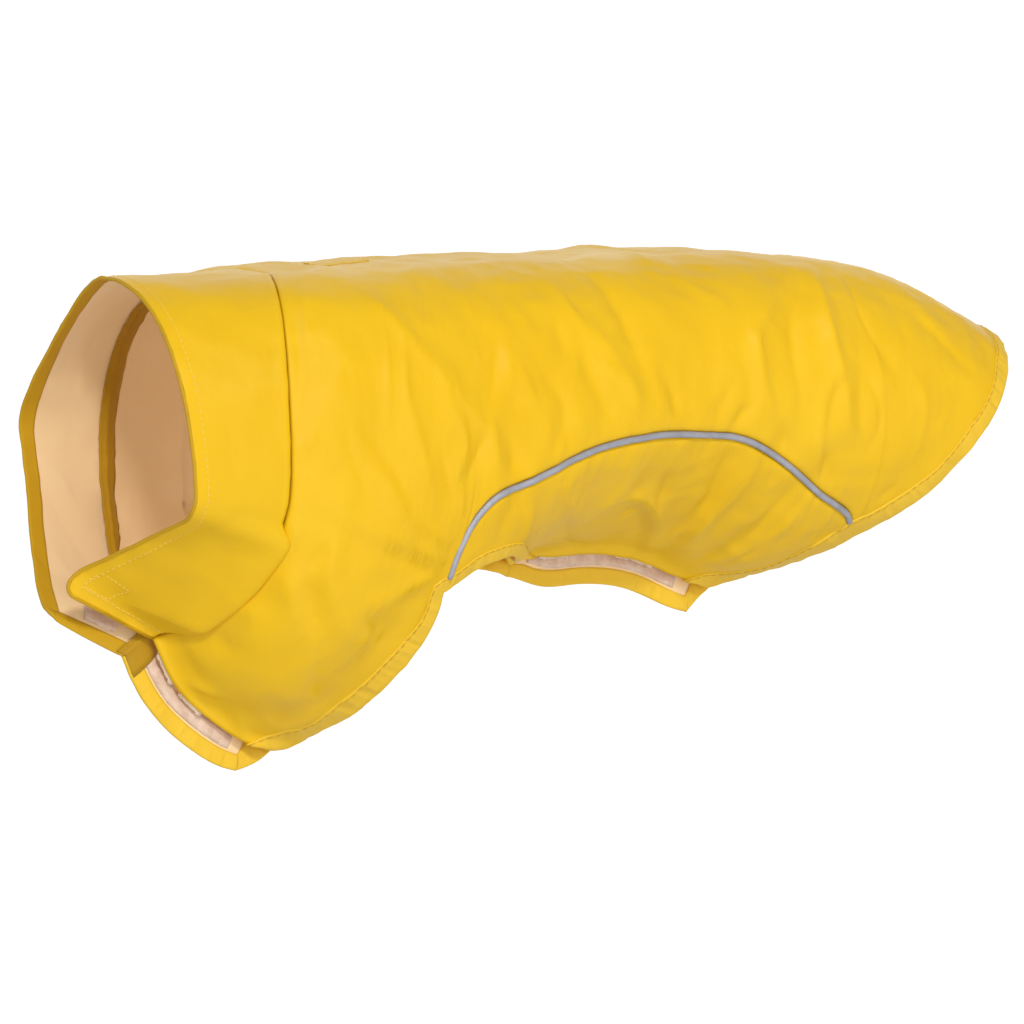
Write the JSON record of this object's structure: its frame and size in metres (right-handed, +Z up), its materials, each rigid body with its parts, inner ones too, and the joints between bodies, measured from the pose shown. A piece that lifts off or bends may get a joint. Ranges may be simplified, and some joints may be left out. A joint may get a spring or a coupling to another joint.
{
  "type": "dog raincoat",
  "caption": "Waterproof dog raincoat, filled out as worn: high open collar, back panel, side panels with reflective piping, bound edges, hook-and-loop closings under chest and belly.",
  "frame": {"origin": "where the coat rests on the wearer's withers: inner face of the back panel, on its centre line, 40 mm behind the neck seam", "axes": "+X towards the tail, -Y to the wearer's left, +Z up"},
  "size_m": [0.6125, 0.1947, 0.2663],
  "materials": {
    "rain_cloth": "glossy",
    "binding": "satin",
    "piping": "satin",
    "hook_tape": "matte",
    "loop_tape": "matte"
  },
  "bodies": {
    "root": {"back_panel": "rain_cloth", "side_gusset_left": "rain_cloth", "side_gusset_right": "rain_cloth", "collar": "rain_cloth", "collar_rim_hem": "binding", "neck_seam_tape": "binding", "binding_leg_left": "binding", "binding_leg_right": "binding", "binding_rear": "binding", "binding_chest_right": "binding", "binding_belly_right": "binding", "leash_slit_welt": "binding", "piping_left": "piping", "piping_right": "piping", "hook_chest_upper": "hook_tape", "hook_chest_lower": "hook_tape", "hook_belly_front": "hook_tape", "hook_belly_rear": "hook_tape", "hook_collar": "hook_tape", "loop_chest": "loop_tape", "loop_belly": "loop_tape", "loop_collar": "loop_tape"}
  },
  "joints": []
}
